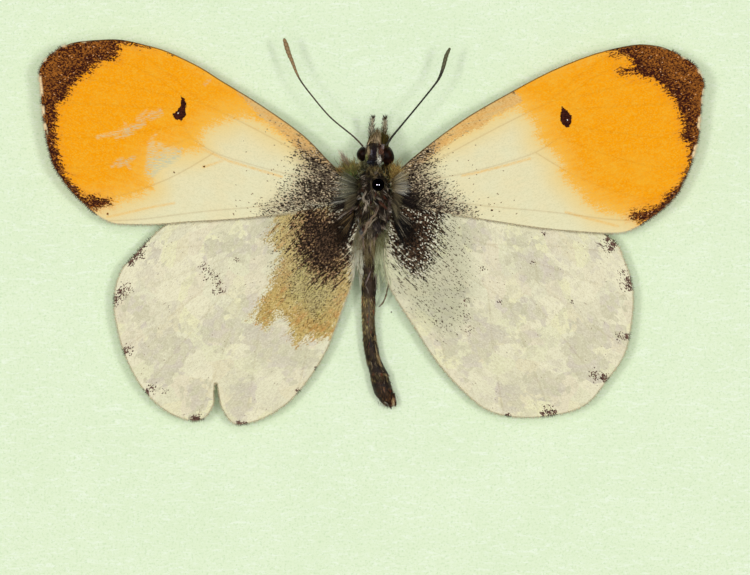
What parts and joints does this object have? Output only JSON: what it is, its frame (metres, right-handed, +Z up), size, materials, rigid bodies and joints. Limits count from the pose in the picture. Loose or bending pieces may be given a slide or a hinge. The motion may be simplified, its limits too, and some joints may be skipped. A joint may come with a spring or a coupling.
{
  "type": "pinned butterfly specimen",
  "caption": "Spread orange and cream butterfly on a short black-headed pin, standing in a foam slab faced with pale green paper.",
  "frame": {"origin": "centre of the slab's underside", "axes": "+X to the butterfly's right in plan view, along the slab; +Y towards its head; +Z up, along the pin"},
  "size_m": [0.056, 0.044, 0.0203],
  "materials": {
    "foam": "matte",
    "green_paper": "matte",
    "pin_steel": "satin",
    "pin_enamel": "gloss",
    "forewing_scales": "matte",
    "hindwing_scales": "matte",
    "body_hair": "matte",
    "eye": "gloss",
    "antenna": "satin",
    "leg": "satin"
  },
  "bodies": {
    "root": {"foam_slab": "foam", "lining_paper": "green_paper", "pin_shaft": "pin_steel", "pin_head": "pin_enamel", "thorax": "body_hair", "abdomen": "body_hair", "head": "body_hair", "eye_left": "eye", "eye_right": "eye", "antenna_left": "antenna", "antenna_right": "antenna", "palp_left": "leg", "palp_right": "leg", "proboscis": "antenna", "forewing_left": "forewing_scales", "forewing_right": "forewing_scales", "hindwing_left": "hindwing_scales", "hindwing_right": "hindwing_scales", "leg_fore_left": "leg", "leg_fore_right": "leg", "leg_mid_left": "leg", "leg_mid_right": "leg", "leg_hind_left": "leg", "leg_hind_right": "leg"}
  },
  "joints": []
}
